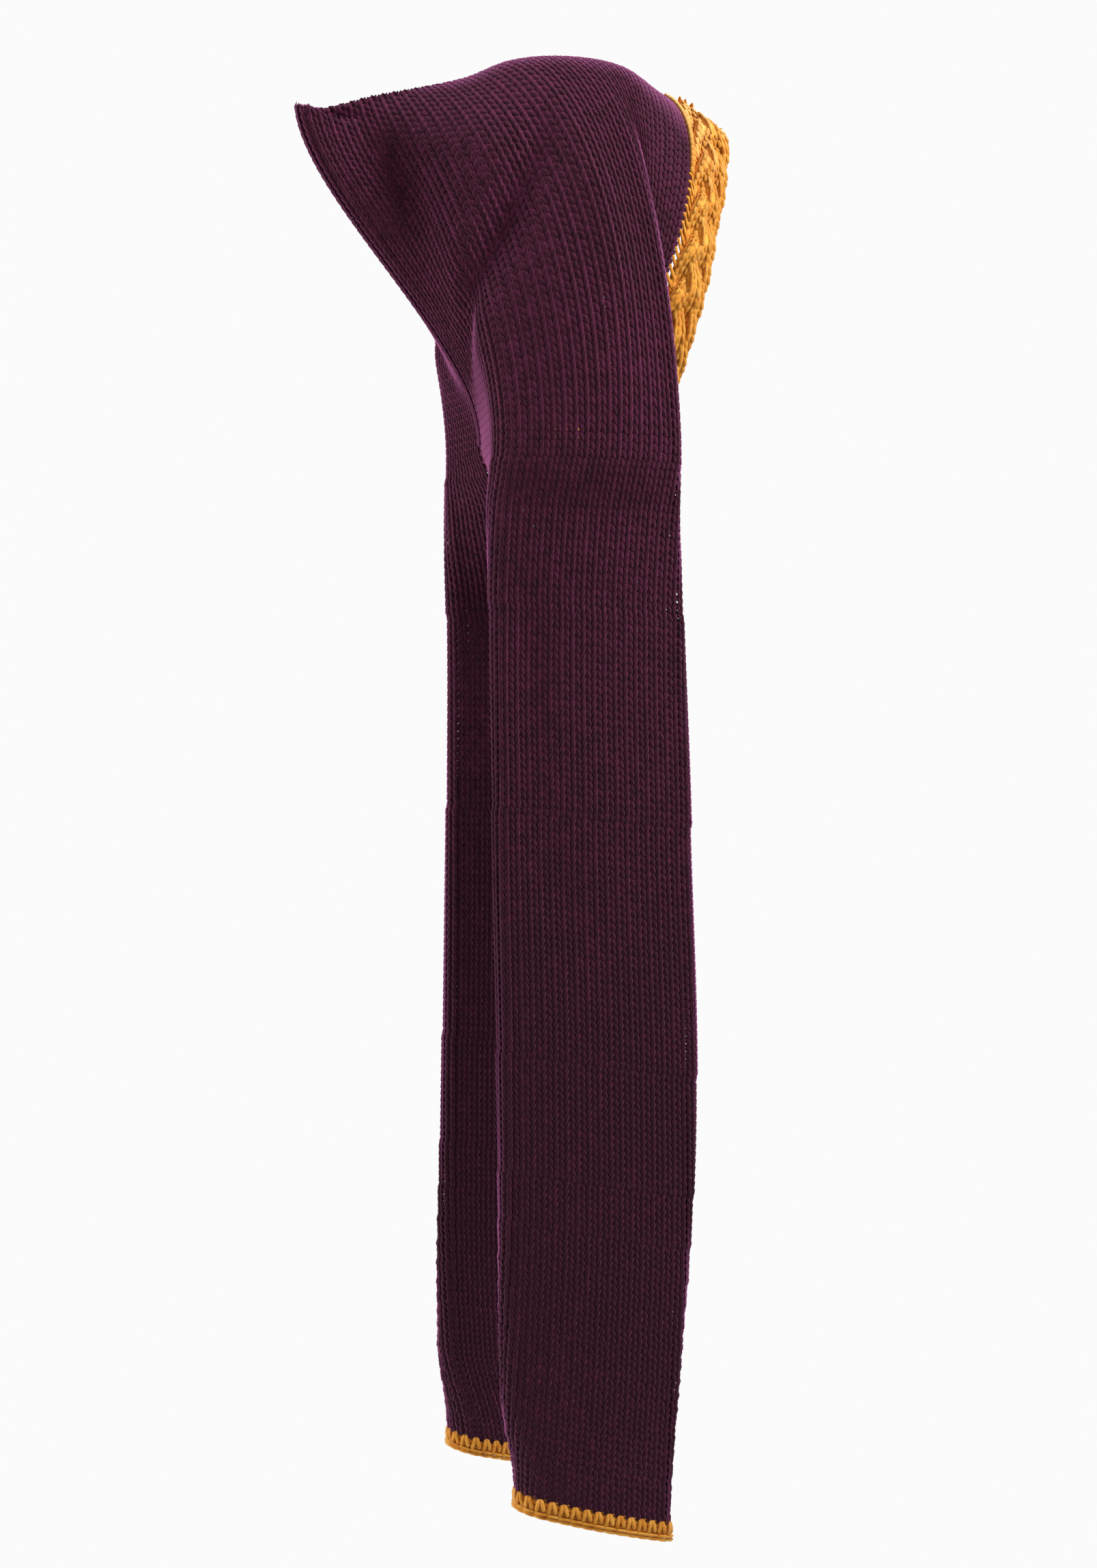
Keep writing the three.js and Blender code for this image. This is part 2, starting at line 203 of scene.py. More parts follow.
def outward(grid):
    """The outward direction of a grid of points, rows down the strip and columns towards the face."""
    return unit(np.cross(np.gradient(grid, axis=0), np.gradient(grid, axis=1)))


def pressed(grid, across, s):
    """The grid with its hollows and swells. Its first row lies on the middle plane."""
    rise = np.zeros((len(s), len(across)))
    for i in range(len(DENTS["at"])):
        d = {name: DENTS[name][i] for name in DENTS}
        down = (s[:, None] - d["along"]) / d["long"]
        aside = (across[None] - d["at"] - d["slant"] * (s[:, None] - d["along"])) / d["wide"]
        rise += d["rise"] * HALF_WIDTH * np.exp(-(down**2) - aside**2)
    mirrored = np.concatenate((grid[:0:-1] * (-1, 1, 1), grid))
    return grid + outward(mirrored)[len(grid) - 1:] * rise[..., None]


def rolled(grid, across, s):
    """The grid with its back edge rolled: the sewn edges turn in, so the join is round and not sharp.

    At the point the fold over it is rounded in the same way."""
    width = between(ROLL, "along", s, "width")[:, None]
    turned = np.clip(across[None] * STRIP_WIDTH / width, 0, 1)
    point_width = POINT_ROLL * np.clip(1 - across[None] / POINT_REACH, LEAST_ROLL, 1)
    folded = np.clip(s[:, None] * NAPE_DROP / point_width, 0, 1)
    faded = np.exp(-(across[None] * STRIP_WIDTH / (ROLL_FADE * width)) ** 2)
    aside = width * np.sqrt((1 - (1 - turned) ** 2) * (1 - (1 - folded) ** 2)) * faded
    return grid - aside[..., None] * (1, 0, 0)


def half_strip():
    """The strip's right half, COURSE_STEPS rows of points to a course and WALE_STEPS to a wale.

    Courses lie evenly along every wale of the hood, and closer together towards a tail's lower end."""
    across = np.linspace(0, 1, WALES * WALE_STEPS + 1)
    hood_s, tail_s = np.linspace(0, 1, FINE_HOOD_ROWS), np.linspace(1, 2, FINE_TAIL_ROWS)[1:]
    s = np.concatenate((hood_s, tail_s))
    fine = np.concatenate((fold_points(across, hood_s), tail_points(across, tail_s - 1)))
    fine = rolled(pressed(fine, across, s), across, s)
    length = np.linalg.norm(np.diff(fine, axis=0), axis=-1).cumsum(0)
    length = np.pad(length, ((1, 0), (0, 0)))
    nape = len(hood_s) - 1
    course = np.arange(TAIL_COURSES * COURSE_STEPS + 1) / COURSE_STEPS
    fallen = TOP_COURSE * course + (END_COURSE - TOP_COURSE) * course**2 / (2 * TAIL_COURSES)
    rows = []
    for j in range(len(across)):
        hood = np.linspace(0, length[nape, j], HOOD_COURSES * COURSE_STEPS + 1)
        tail = length[nape, j] + fallen[1:] / fallen[-1] * (length[-1, j] - length[nape, j])
        places = np.concatenate((hood, tail))
        rows.append(np.stack([np.interp(places, length[:, j], fine[:, j, k]) for k in range(3)], -1))
    return np.stack(rows, 1)


half = half_strip()
strip = np.concatenate((half[:0:-1] * (-1, 1, 1), half))
strip_out = outward(strip)
FOLD_ROW = len(strip) // 2
NAPE_ROW = HOOD_COURSES * COURSE_STEPS


# Plum yarn: a bulky wool-blend single, carded from magenta and near-black fibre, so it is heathered,
# matt and hairy. Where the cloth turns away from the eye a paler colour is painted in, a painted sheen
# for the light on its hairs.

PLUM_DEEP = "#2f0d1b"
PLUM_MID = "#431529"
PLUM_PALE = "#5a213c"
PURL_DEEP = "#42142a"
PURL_MID = "#5c1e3c"
PURL_PALE = "#783054"
PLUM_HALO = "#a85a8c"

# How long the yarn's patterns are in millimetres: flecks of fibre, single fibres, and the slow change of
# tone from one part of a ball to the next. The painted shade, which darkens the yarn towards the tails'
# lower ends for the lesser light there, runs between two heights, in metres.
HEATHER_SIZE = 6.0
FIBRE_SIZE = 0.9
BATCH_SIZE = 70.0
SHADE_FROM_HEIGHT = -0.25
SHADE_TO_HEIGHT = -0.75
YARN_RELIEF = 0.0006


def linear(colour):
    """An sRGB hex colour as linear red, green, blue and alpha."""
    parts = [int(colour[i:i + 2], 16) / 255 for i in (1, 3, 5)]
    return [c / 12.92 if c <= 0.04045 else ((c + 0.055) / 1.055) ** 2.4 for c in parts] + [1.0]


def add_node(tree, kind, settings=(), inputs=(), links=()):
    """A node with its settings, its input values, and links into it from (node, output name)."""
    node = tree.nodes.new(kind)
    for name, value in dict(settings).items():
        setattr(node, name, value)
    for name, value in dict(inputs).items():
        node.inputs[name].default_value = value
    for name, (source, output) in dict(links).items():
        tree.links.new(source.outputs[output], node.inputs[name])
    return node


def yarn(name, deep, mid, pale, halo, ply, rim, shade_towards_ends=0.0):
    """A matt hairy spun yarn. ply sets the length of its twist. rim is the strength of a painted sheen: a
    paler colour painted where the cloth turns away, judged by the cloth's own outward direction, standing
    in for light on the hairs. The last argument is a painted shade: how far the place in the ramp moves
    towards the dark end at the lower end of the tails, standing in for the lesser light there."""
    material = bpy.data.materials.new(name)
    material.use_nodes = True
    tree = material.node_tree
    tree.nodes.clear()
    place = add_node(tree, "ShaderNodeTexCoord")
    heather = add_node(tree, "ShaderNodeTexNoise", inputs={"Scale": 1000 / HEATHER_SIZE, "Detail": 3.0},
                       links={"Vector": (place, "Object")})
    fibre = add_node(tree, "ShaderNodeTexNoise", inputs={"Scale": 1000 / FIBRE_SIZE, "Detail": 2.0},
                     links={"Vector": (place, "Object")})
    batch = add_node(tree, "ShaderNodeTexNoise", inputs={"Scale": 1000 / BATCH_SIZE, "Detail": 2.0},
                     links={"Vector": (place, "Object")})
    tone = add_node(tree, "ShaderNodeAttribute", {"attribute_name": "tone"})
    mixed = add_node(tree, "ShaderNodeMath", {"operation": "ADD"},
                     links={0: (heather, "Fac"), 1: (tone, "Fac")})
    blended = add_node(tree, "ShaderNodeMath", {"operation": "MULTIPLY_ADD"}, {1: 0.3},
                       {0: (batch, "Fac"), 2: (mixed, "Value")})
    # Painted shade: the place in the ramp moves darker towards the tails' lower ends, standing in for the
    # lesser light there.
    height = add_node(tree, "ShaderNodeSeparateXYZ", links={"Vector": (place, "Object")})
    lower = add_node(tree, "ShaderNodeMapRange",
                     inputs={"From Min": SHADE_TO_HEIGHT, "From Max": SHADE_FROM_HEIGHT, "To Min": shade_towards_ends, "To Max": 0.0},
                     links={"Value": (height, "Z")})
    shaded_tone = add_node(tree, "ShaderNodeMath", {"operation": "ADD"},
                      links={0: (blended, "Value"), 1: (lower, "Result")})
    centred = add_node(tree, "ShaderNodeMath", {"operation": "SUBTRACT"}, {1: 0.15},
                       {0: (shaded_tone, "Value")})
    shade = add_node(tree, "ShaderNodeValToRGB", links={"Fac": (centred, "Value")})
    shade.color_ramp.elements[0].position = 0.25
    shade.color_ramp.elements[0].color = linear(deep)
    shade.color_ramp.elements[1].position = 0.85
    shade.color_ramp.elements[1].color = linear(pale)
    shade.color_ramp.elements.new(0.5).color = linear(mid)
    # Painted sheen: the colour is mixed towards the pale halo colour where the cloth's own outward
    # direction turns from the eye, standing in for light on the hairs.
    out = add_node(tree, "ShaderNodeAttribute", {"attribute_name": "out"})
    turning = add_node(tree, "ShaderNodeLayerWeight", inputs={"Blend": 0.5},
                       links={"Normal": (out, "Vector")})
    edge = add_node(tree, "ShaderNodeMapRange",
                    inputs={"From Min": 0.55, "From Max": 1.0, "To Max": rim},
                    links={"Value": (turning, "Facing")})
    painted_sheen = add_node(tree, "ShaderNodeMix", {"data_type": "RGBA"}, links={"Factor": (edge, "Result")})
    painted_sheen.inputs[7].default_value = linear(halo)
    tree.links.new(shade.outputs["Color"], painted_sheen.inputs[6])
    twist = add_node(tree, "ShaderNodeTexWave", {"bands_direction": "DIAGONAL"},
                     {"Scale": 6.0 / ply, "Distortion": 1.5, "Detail": 1.0},
                     {"Vector": (place, "UV")})
    relief = add_node(tree, "ShaderNodeMath", {"operation": "MULTIPLY_ADD"}, {1: 0.5},
                      {0: (fibre, "Fac"), 2: (twist, "Fac")})
    bump = add_node(tree, "ShaderNodeBump", inputs={"Strength": 0.5, "Distance": YARN_RELIEF},
                    links={"Height": (relief, "Value")})
    shader = add_node(tree, "ShaderNodeBsdfPrincipled",
                      inputs={"Roughness": 0.95, "Sheen Weight": 0.5, "Sheen Roughness": 0.4,
                              "Sheen Tint": linear(halo), "Specular IOR Level": 0.2},
                      links={"Normal": (bump, "Normal")})
    tree.links.new(painted_sheen.outputs[2], shader.inputs["Base Color"])
    add_node(tree, "ShaderNodeOutputMaterial", links={"Surface": (shader, "BSDF")})
    return material


# The plum is painted a shade darker towards the tails' lower ends, a painted shade for the lesser light
# there.
plum_yarn = yarn("plum wool blend yarn", PLUM_DEEP, PLUM_MID, PLUM_PALE, PLUM_HALO,
                 ply=3.0, rim=0.8, shade_towards_ends=-0.25)

# The purl side, seen inside the hood and the curled tails, looks a little redder and paler than the knit
# side, and its hairs hardly show. It too gets a painted shade, darker towards the tails' lower ends, and a
# faint painted sheen.
plum_purl = yarn("plum wool blend yarn, purl side", PURL_DEEP, PURL_MID, PURL_PALE, PLUM_HALO,
                 ply=3.0, rim=0.1, shade_towards_ends=-0.3)

# The plum stitches: on the outside each stitch shows as a V of two fat legs, the lower ends tucked into
# the stitch below. One V is modelled and a node tree repeats it along every wale, about 13,000 times.

LEG_PATH = ((0.9, -4.7, -0.5), (1.45, -1.9, 0.3), (2.45, 1.9, 0.35), (3.1, 4.8, -0.5))
LEG_HALF_WIDTH = 1.95
LEG_HALF_DEPTH = 0.75
NOMINAL_WALE = STRIP_WIDTH / WALES
NOMINAL_COURSE = 5.6
TONE_SPREAD = 0.045


def plain_object(name, vertices, faces):
    """A mesh object at the origin, from points in millimetres."""
    mesh = bpy.data.meshes.new(name)
    mesh.from_pydata((np.array(vertices) / 1000).tolist(), [], faces)
    mesh.polygons.foreach_set("use_smooth", np.ones(len(mesh.polygons), bool))
    obj = bpy.data.objects.new(name, mesh)
    bpy.context.scene.collection.objects.link(obj)
    return obj


def leg(path, half_width, half_depth, sides, mirror=1):
    """One leg of a stitch: a spindle along its path, pointed at both ends."""
    path = np.array(path) * (mirror, 1, 1)
    vertices, faces = [path[0]], []
    for i in range(1, len(path) - 1):
        way = unit(path[i + 1] - path[i - 1])
        side = unit(np.cross(way, (0, 0, 1)))
        up = np.cross(side, way)
        for k in range(sides):
            turn = 2 * math.pi * k / sides
            around = side * half_width * math.sin(turn) + up * half_depth * math.cos(turn)
            vertices.append(path[i] + around)
    vertices.append(path[-1])
    rings = len(path) - 2
    for k in range(sides):
        after = (k + 1) % sides
        faces.append((0, 1 + after, 1 + k))
        for r in range(rings - 1):
            low, high = 1 + r * sides, 1 + (r + 1) * sides
            faces.append((low + k, low + after, high + after, high + k))
        last = 1 + (rings - 1) * sides
        faces.append((last + k, last + after, len(vertices) - 1))
    return vertices, faces


def joined(*parts):
    """Several lists of vertices and faces as one."""
    vertices, faces = [], []
    for some_vertices, some_faces in parts:
        faces += [tuple(i + len(vertices) for i in face) for face in some_faces]
        vertices += list(some_vertices)
    return vertices, faces


def stitch(name, path, half_width, half_depth, sides):
    """A knit stitch: two mirrored legs that spread upwards."""
    right = leg(path, half_width, half_depth, sides)
    left = leg(path, half_width, half_depth, sides, -1)
    obj = plain_object(name, *joined(right, left))
    mesh = obj.data
    uv = mesh.uv_layers.new(name="yarn")
    for loop in mesh.loops:
        x, y, z = mesh.vertices[loop.vertex_index].co * 1000
        uv.data[loop.index].uv = (math.atan2(z, abs(x) - 1.8) / math.tau * 3, y)
    obj.hide_render = True
    return obj


def carriers(name, points, across, up, out, size):
    """A point for each stitch, with the turn and size that its stitch takes there."""
    obj = plain_object(name, points, [])
    axes = np.stack((across, up, out), -1)
    turn = obj.data.attributes.new("turn", "QUATERNION", "POINT")
    quaternions = [Matrix(a.tolist()).to_quaternion() for a in axes]
    turn.data.foreach_set("value", np.array([tuple(q) for q in quaternions], np.float32).ravel())
    scale = obj.data.attributes.new("size", "FLOAT_VECTOR", "POINT")
    scale.data.foreach_set("vector", np.array(size, np.float32).ravel())
    faced = obj.data.attributes.new("out", "FLOAT_VECTOR", "POINT")
    faced.data.foreach_set("vector", np.array(out, np.float32).ravel())
    return obj


def laid(points, up, out):
    """Three square axes from an up direction and an outward direction."""
    out = unit(out)
    up = unit(up - out * (up * out).sum(-1, keepdims=True))
    return points, np.cross(up, out), up, out


def repeat_tree():
    """A tree that sets one piece on every carrier, in slightly different tones, as one plain mesh."""
    tree = bpy.data.node_groups.new("repeat a stitch", "GeometryNodeTree")
    sockets = tree.interface
    sockets.new_socket("Carriers", in_out="INPUT", socket_type="NodeSocketGeometry")
    sockets.new_socket("Stitch", in_out="INPUT", socket_type="NodeSocketObject")
    sockets.new_socket("Yarn", in_out="INPUT", socket_type="NodeSocketMaterial")
    sockets.new_socket("Tone spread", in_out="INPUT", socket_type="NodeSocketFloat")
    sockets.new_socket("Seed", in_out="INPUT", socket_type="NodeSocketInt")
    sockets.new_socket("Knit", in_out="OUTPUT", socket_type="NodeSocketGeometry")
    given = add_node(tree, "NodeGroupInput")
    piece = add_node(tree, "GeometryNodeObjectInfo", links={"Object": (given, "Stitch")})
    turn = add_node(tree, "GeometryNodeInputNamedAttribute", {"data_type": "QUATERNION"},
                    {"Name": "turn"})
    size = add_node(tree, "GeometryNodeInputNamedAttribute", {"data_type": "FLOAT_VECTOR"},
                    {"Name": "size"})
    placed = add_node(tree, "GeometryNodeInstanceOnPoints",
                      links={"Points": (given, "Carriers"), "Instance": (piece, "Geometry"),
                             "Rotation": (turn, "Attribute"), "Scale": (size, "Attribute")})
    lowest = add_node(tree, "ShaderNodeMath", {"operation": "MULTIPLY"}, {1: -1.0},
                      {0: (given, "Tone spread")})
    tone = add_node(tree, "FunctionNodeRandomValue", {"data_type": "FLOAT"},
                    links={"Seed": (given, "Seed")})
    tree.links.new(lowest.outputs[0], tone.inputs[2])
    tree.links.new(given.outputs["Tone spread"], tone.inputs[3])
    toned = add_node(tree, "GeometryNodeStoreNamedAttribute",
                     {"data_type": "FLOAT", "domain": "INSTANCE"}, {"Name": "tone"},
                     {"Geometry": (placed, "Instances")})
    tree.links.new(tone.outputs[1], toned.inputs["Value"])
    real = add_node(tree, "GeometryNodeRealizeInstances", links={"Geometry": (toned, "Geometry")})
    dyed = add_node(tree, "GeometryNodeSetMaterial",
                    links={"Geometry": (real, "Geometry"), "Material": (given, "Yarn")})
    add_node(tree, "NodeGroupOutput", links={"Knit": (dyed, "Geometry")})
    return tree


def grown(name, base, tree, values):
    """The plain mesh that a tree makes of a base object. The base is removed."""
    modifier = base.modifiers.new("grow", "NODES")
    modifier.node_group = tree
    for socket in tree.interface.items_tree:
        if socket.in_out == "INPUT" and socket.name in values:
            modifier[socket.identifier] = values[socket.name]
    evaluated = base.evaluated_get(bpy.context.evaluated_depsgraph_get())
    mesh = bpy.data.meshes.new_from_object(evaluated)
    mesh.name = name
    for spare in ("turn", "size"):
        if spare in mesh.attributes:
            mesh.attributes.remove(mesh.attributes[spare])
    obj = bpy.data.objects.new(name, mesh)
    bpy.context.scene.collection.objects.link(obj)
    bpy.data.objects.remove(base)
    return obj


def strip_carriers(name, first, last):
    """Carriers for the stitches between two rows of the strip."""
    rows = np.arange(first + COURSE_STEPS // 2, last, COURSE_STEPS)
    places = np.arange(WALE_STEPS // 2, WALES * WALE_STEPS, WALE_STEPS)
    here = np.ix_(rows, places)
    down = (strip[rows + 1][:, places] - strip[rows - 1][:, places])
    aside = (strip[rows][:, places + 1] - strip[rows][:, places - 1])
    width = np.linalg.norm(aside, axis=-1) * (WALE_STEPS / 2) / NOMINAL_WALE
    height = np.linalg.norm(down, axis=-1) * (COURSE_STEPS / 2) / NOMINAL_COURSE
    size = np.stack((width, height, np.ones_like(width)), -1).reshape(-1, 3)
    points = strip[here].reshape(-1, 3)
    out = strip_out[here].reshape(-1, 3)
    return carriers(name, *laid(points, -down.reshape(-1, 3), out), size)


plum_stitch = stitch("plum_stitch", LEG_PATH, LEG_HALF_WIDTH, LEG_HALF_DEPTH, 4)
repeat = repeat_tree()
STRIP_PIECES = (
    ("hood", FOLD_ROW - NAPE_ROW, FOLD_ROW + NAPE_ROW),
    ("tail_right", FOLD_ROW + NAPE_ROW, len(strip) - 1),
    ("tail_left", 0, FOLD_ROW - NAPE_ROW),
)
knit = {}
for seed, (node, first, last) in enumerate(STRIP_PIECES):
    base = strip_carriers(node + "_carriers", first, last)
    values = {"Stitch": plum_stitch, "Yarn": plum_yarn, "Tone spread": TONE_SPREAD, "Seed": seed}
    knit[node] = grown(node + "_stitches", base, repeat, values)

# The courses: behind the legs each row of yarn runs on from stitch to stitch as a low wave, up over the
# head of one stitch and down to the sinker beside it. From inside these are the purl bumps. Light
# comes through between two waves wherever the cloth hangs single.

HOOD_HALF_HEIGHT = 2.85
TAIL_HALF_HEIGHT = 1.75
COURSE_HALF_DEPTH = 0.95
COURSE_SINK = 0.9
COURSE_WAVE = 0.07
PURL_DEPTH = 0.45


def course_tree():
    """A tree that draws a flattened yarn along each line of a base mesh."""
    tree = bpy.data.node_groups.new("draw a course", "GeometryNodeTree")
    sockets = tree.interface
    sockets.new_socket("Lines", in_out="INPUT", socket_type="NodeSocketGeometry")
    sockets.new_socket("Half height", in_out="INPUT", socket_type="NodeSocketFloat")
    sockets.new_socket("Flatness", in_out="INPUT", socket_type="NodeSocketFloat")
    sockets.new_socket("Sides", in_out="INPUT", socket_type="NodeSocketInt")
    sockets.new_socket("Yarn", in_out="INPUT", socket_type="NodeSocketMaterial")
    sockets.new_socket("Knit", in_out="OUTPUT", socket_type="NodeSocketGeometry")
    given = add_node(tree, "NodeGroupInput")
    curve = add_node(tree, "GeometryNodeMeshToCurve", links={"Mesh": (given, "Lines")})
    out = add_node(tree, "GeometryNodeInputNamedAttribute", {"data_type": "FLOAT_VECTOR"},
                   {"Name": "out"})
    faced = add_node(tree, "GeometryNodeSetCurveNormal", {"mode": "FREE"},
                     links={"Curve": (curve, "Curve"), "Normal": (out, "Attribute")})
    ring = add_node(tree, "GeometryNodeCurvePrimitiveCircle", {"mode": "RADIUS"},
                    links={"Resolution": (given, "Sides"), "Radius": (given, "Half height")})
    shape = add_node(tree, "ShaderNodeCombineXYZ", inputs={"Y": 1.0, "Z": 1.0},
                     links={"X": (given, "Flatness")})
    section = add_node(tree, "GeometryNodeTransform",
                       links={"Geometry": (ring, "Curve"), "Scale": (shape, "Vector")})
    tube = add_node(tree, "GeometryNodeCurveToMesh", inputs={"Fill Caps": True},
                    links={"Curve": (faced, "Curve"), "Profile Curve": (section, "Geometry")})
    smooth = add_node(tree, "GeometryNodeSetShadeSmooth", links={"Geometry": (tube, "Mesh")})
    dyed = add_node(tree, "GeometryNodeSetMaterial",
                    links={"Geometry": (smooth, "Geometry"), "Material": (given, "Yarn")})
    add_node(tree, "NodeGroupOutput", links={"Knit": (dyed, "Geometry")})
    return tree


def lines_object(name, lines, outs):
    """Polylines with an outward direction at each point, for course_tree."""
    points = np.concatenate(lines)
    edges, start = [], 0
    for line in lines:
        edges += [(start + i, start + i + 1) for i in range(len(line) - 1)]
        start += len(line)
    mesh = bpy.data.meshes.new(name)
    mesh.from_pydata((points / 1000).tolist(), edges, [])
    out = mesh.attributes.new("out", "FLOAT_VECTOR", "POINT")
    out.data.foreach_set("vector", np.concatenate(outs).astype(np.float32).ravel())
    obj = bpy.data.objects.new(name, mesh)
    bpy.context.scene.collection.objects.link(obj)
    return obj


def course_lines(first, last):
    """The wave of each course between two rows of the strip."""
    place = np.arange(strip.shape[1])
    swing = np.cos(2 * math.pi * (place / WALE_STEPS - 0.5))
    wave = -COURSE_WAVE * swing * COURSE_STEPS
    lines, outs = [], []
    for row in range(first, last, COURSE_STEPS):
        at = np.clip(row - wave, first, last)
        low = np.minimum(at.astype(int), last - 1)
        part = (at - low)[:, None]
        middle = strip[low, place] * (1 - part) + strip[low + 1, place] * part
        sink = COURSE_SINK + PURL_DEPTH * swing
        lines.append(middle - strip_out[low, place] * sink[:, None])
        outs.append(strip_out[low, place])
    return lines, outs


draw_course = course_tree()
sheets = {}
for node, first, last in STRIP_PIECES:
    base = lines_object(node + "_lines", *course_lines(first, last))
    half_height = HOOD_HALF_HEIGHT if node == "hood" else TAIL_HALF_HEIGHT
    values = {"Half height": half_height / 1000, "Flatness": COURSE_HALF_DEPTH / half_height, "Sides": 4,
              "Yarn": plum_purl}
    sheets[node] = grown(node + "_courses", base, draw_course, values)
    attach(sheets[node], "root")
    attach(knit[node], "root")
    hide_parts(node)

# Back seam: the strip's two back edges are sewn together with the same plum yarn, from the point down to
# the nape. Small slanted stitches lie over the join and draw it in a little.

SEAM_STITCH = 6.5
SEAM_WIDTH = 6.0
SEAM_DEPTH = 0.9


def spaced(line, gap):
    """Points evenly spaced along a line, about gap apart, with the way ahead at each."""
    length = np.pad(np.linalg.norm(np.diff(line, axis=0), axis=1).cumsum(), (1, 0))
    count = max(round(length[-1] / gap), 1)
    places = (np.arange(count) + 0.5) * length[-1] / count

    def at(some):
        return np.stack([np.interp(some, length, line[:, k]) for k in range(3)], -1)

    return at(places), unit(at(places + gap / 4) - at(places - gap / 4))


seam_line = strip[FOLD_ROW:FOLD_ROW + NAPE_ROW + 1, 0] * (0, 1, 1)
seam_points, seam_down = spaced(seam_line, SEAM_STITCH)
seam_out = unit(np.cross((1, 0, 0), seam_down))
seam_out *= -np.sign((seam_out * (strip[FOLD_ROW, -1] - seam_line[0])).sum(-1, keepdims=True))
seam_size = (SEAM_WIDTH / NOMINAL_WALE, SEAM_STITCH / NOMINAL_COURSE, SEAM_DEPTH)
seam_size = np.tile(seam_size, (len(seam_points), 1))
seam_base = carriers("back_seam_carriers", *laid(seam_points + seam_out, -seam_down, seam_out),
                     seam_size)
seam = grown("back_seam", seam_base, repeat,
             {"Stitch": plum_stitch, "Yarn": plum_yarn, "Tone spread": TONE_SPREAD, "Seed": 7})
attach(seam, "root")

# Mustard yarn: the same bulky spin as the plum, dyed yellow ochre. It is much paler, so its plies and
# its hairs show, and it glows orange in the creases where light goes back and forth between strands.

MUSTARD_DEEP = "#d07d22"
MUSTARD_MID = "#eb9f3a"
MUSTARD_PALE = "#fcbd5a"
MUSTARD_HALO = "#ffd890"

# The mustard too gets a painted sheen where the cloth turns away from the eye.
mustard_yarn = yarn("mustard wool blend yarn", MUSTARD_DEEP, MUSTARD_MID, MUSTARD_PALE, MUSTARD_HALO,
                    ply=2.5, rim=0.5)

# The brim: a mustard cable-knit band about 55 mm wide, knitted lengthways and sewn to the face edge. A
# three-strand braid and a two-strand rope run along it on a ground of purl courses, and a bound-off
# chain closes its free edge.

BAND_WIDTH = 55.0
BAND_WALL = 6.0
BAND_END = 14.4
BAND_TILT = 0.15
BAND_CLEAR = 0.3
BAND_DRAWN_IN = 0.16
BAND_COURSE = 5.2
BAND_WALE = 6.4
BRAID_MIDDLE = 27.0
BRAID_SWING = 10.5
BRAID_TWIST = 112.0
BRAID_WALES = 2
BRAID_HEIGHT = 0.2
BRAID_LIFT = 3.6
BRAID_HALF_DEPTH = 3.1
BRAID_ROUND = 1.2
ROPE_MIDDLE = 48.5
ROPE_SWING = 3.2
ROPE_TWIST = 46.0
ROPE_WALE = 6.4
ROPE_LIFT = 1.8
GROUND_SINK = 1.0
GROUND_HALF_HEIGHT = 2.4
GROUND_HALF_DEPTH = 1.2
CHAIN_STITCH = 6.0
CHAIN_WIDTH = 5.0
RIM_STRETCH = 1.1
STRAND_STEP = 2.6
STRAND_FILL = 0.88
STITCH_SEAT = 0.75
STITCH_TURN = 0.4
STITCH_WIDER = 1.25
STITCH_DEPTH = 0.9

# The way that the band leaves the face edge, from the forehead (along 0) to the neck (along 1), and the
# share of its width by which it is moved towards the middle.
BRIM = columns(
    "along inward forward down aside",
    (0.00, 0.00, 0.86, 0.50, 0.00),
    (0.20, 0.30, 0.72, 0.62, 0.00),
    (0.45, 0.24, 0.42, 0.58, 0.04),
    (0.75, 0.20, 0.46, 0.42, 0.10),
    (1.00, 0.14, 0.80, 0.16, 0.19),
)


def brim_points(out, share):
    """The band's middle surface, a row for each share of its length (-1 to 1), from edge to edge."""
    place = np.abs(share)
    edge = fold_points(np.ones(1), place * (1 - BAND_END / NAPE_DROP))
    inward, forward, down = (
        between(BRIM, "along", place, name) for name in ("inward", "forward", "down"))
    direction = unit(np.stack((inward, -forward, -down), -1))[:, None]
    root = BAND_CLEAR + BAND_TILT * BAND_WALL
    drawn_in = 1 - BAND_DRAWN_IN * np.clip((place - 0.1) / 0.3, 0, 1)
    reach = BAND_WIDTH * drawn_in[:, None, None] - root
    points = edge + direction * (root + out[None, :, None] * reach)
    aside = between(BRIM, "along", place, "aside")[:, None] * BAND_WIDTH
    points[..., 0] = np.minimum(points[..., 0] + aside, 0) * np.where(share < 0, -1, 1)[:, None]
    return points


band = brim_points(np.linspace(0, 1, round(BAND_WIDTH) + 1), np.linspace(-1, 1, 481))
band_out = outward(band)
band_length = np.linalg.norm(np.diff(band[:, len(band[0]) // 2], axis=0), axis=1).cumsum()
band_length = np.pad(band_length, (1, 0)) - band_length[-1] / 2
BAND_REACH = band_length[-1]


def sampled(grid, row, column):
    """Values of a grid between its points."""
    row, column = np.clip(row, 0, len(grid) - 1.001), np.clip(column, 0, len(grid[0]) - 1.001)
    i, j = row.astype(int), column.astype(int)
    a, b = (row - i)[..., None], (column - j)[..., None]
    upper = grid[i, j] * (1 - b) + grid[i, j + 1] * b
    return upper * (1 - a) + (grid[i + 1, j] * (1 - b) + grid[i + 1, j + 1] * b) * a


def on_band(aside, forth, rise):
    """A point of the band and its outward direction: aside is the way from the sewn edge, forth the way
    along it, rise the height off the middle surface."""
    row = np.interp(forth, band_length, np.arange(len(band)))
    out = unit(sampled(band_out, row, aside))
    return sampled(band, row, aside) + out * np.asarray(rise)[..., None], out


